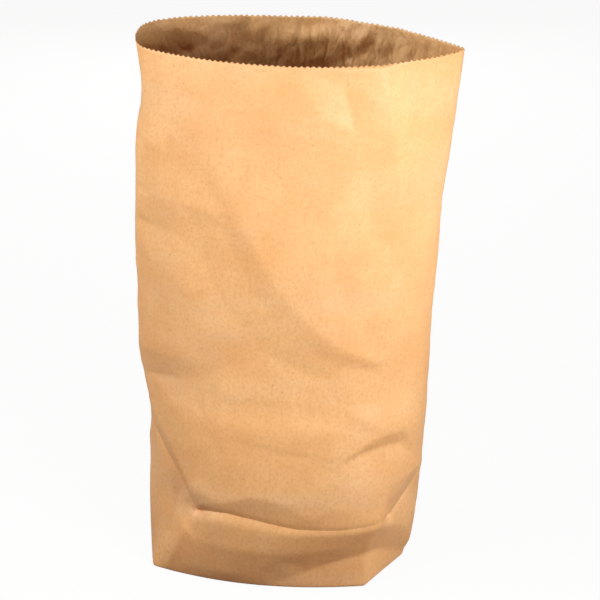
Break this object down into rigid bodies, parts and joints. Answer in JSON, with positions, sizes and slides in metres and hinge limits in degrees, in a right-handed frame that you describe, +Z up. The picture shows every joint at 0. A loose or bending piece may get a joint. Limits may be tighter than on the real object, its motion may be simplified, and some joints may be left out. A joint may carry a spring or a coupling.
{
  "type": "paper waste sack",
  "caption": "Tall brown kraft-paper waste sack standing open, with a pinked mouth, a squared pasted bottom and a valley crease across the lower front; holds rubbish or garden waste.",
  "frame": {"origin": "on the floor under the middle of the sack's box", "axes": "+Z up, +X across the sack's width to the right as seen from the front, the creased front panel faces -Y"},
  "size_m": [0.4312, 0.2594, 0.75],
  "materials": {
    "kraft_paper": "matt unbleached kraft with fine fibres"
  },
  "bodies": {
    "root": {"paper_sack": "kraft_paper"}
  },
  "joints": []
}
